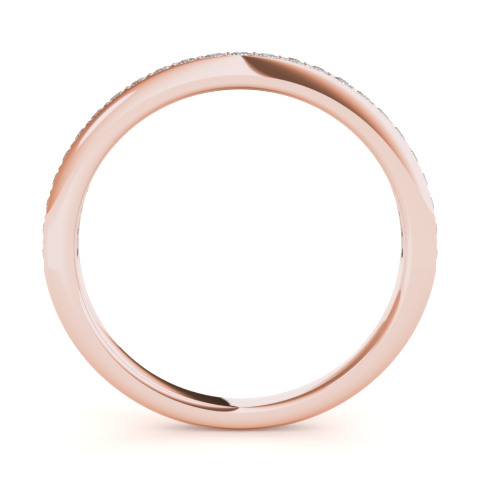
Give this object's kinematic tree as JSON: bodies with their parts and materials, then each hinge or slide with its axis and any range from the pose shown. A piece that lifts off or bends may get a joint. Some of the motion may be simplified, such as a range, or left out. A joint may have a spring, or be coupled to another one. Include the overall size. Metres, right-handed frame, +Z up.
{
  "type": "wedding band",
  "caption": "Slim half-eternity ring with a comfort-fit bore, a domed tapering shank and one row of round stones held by shared beads.",
  "frame": {"origin": "lowest point of the ring's rim, midway across the band", "axes": "+Z up through the middle of the stone row, Y along the finger hole"},
  "size_m": [0.021, 0.002, 0.0207],
  "materials": {
    "rose_gold": "mirror-polished rose gold",
    "diamond": "faceted, polished, colourless"
  },
  "bodies": {
    "root": {"band": "rose_gold", "diamond_01": "diamond", "diamond_02": "diamond", "diamond_03": "diamond", "diamond_04": "diamond", "diamond_05": "diamond", "diamond_06": "diamond", "diamond_07": "diamond", "diamond_08": "diamond", "diamond_09": "diamond", "diamond_10": "diamond", "diamond_11": "diamond", "diamond_12": "diamond", "diamond_13": "diamond", "diamond_14": "diamond", "diamond_15": "diamond", "diamond_16": "diamond", "diamond_17": "diamond", "diamond_18": "diamond", "diamond_19": "diamond", "diamond_20": "diamond", "diamond_21": "diamond", "diamond_22": "diamond", "diamond_23": "diamond", "diamond_24": "diamond", "diamond_25": "diamond"}
  },
  "joints": []
}
